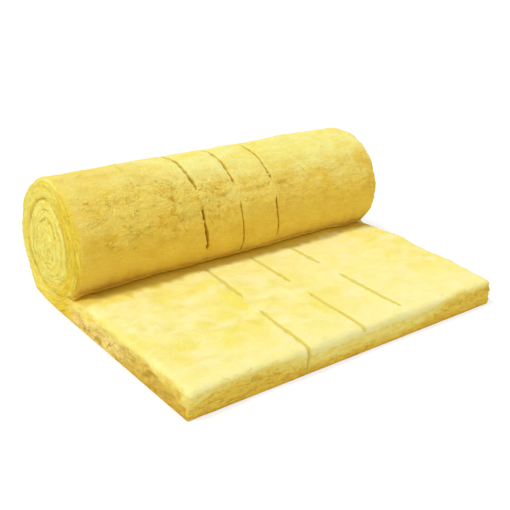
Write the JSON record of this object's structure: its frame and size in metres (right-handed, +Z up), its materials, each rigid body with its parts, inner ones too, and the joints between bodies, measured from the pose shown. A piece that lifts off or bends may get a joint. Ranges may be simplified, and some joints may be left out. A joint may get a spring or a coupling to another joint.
{
  "type": "insulation roll",
  "caption": "Roll of loft insulation, one wide blanket of golden glass wool, wound at the back and laid flat in front, with factory cuts along its length.",
  "frame": {"origin": "middle of the bounding box's underside, on the floor that the blanket lies on", "axes": "+X along the roll's axis, across the blanket's width; -Y the way the blanket unrolls, towards its free edge; +Z up"},
  "size_m": [1.14, 0.863, 0.354],
  "materials": {
    "glass_wool": "matte fibrous glass wool"
  },
  "bodies": {
    "root": {"glass_wool_blanket": "glass_wool"}
  },
  "joints": []
}
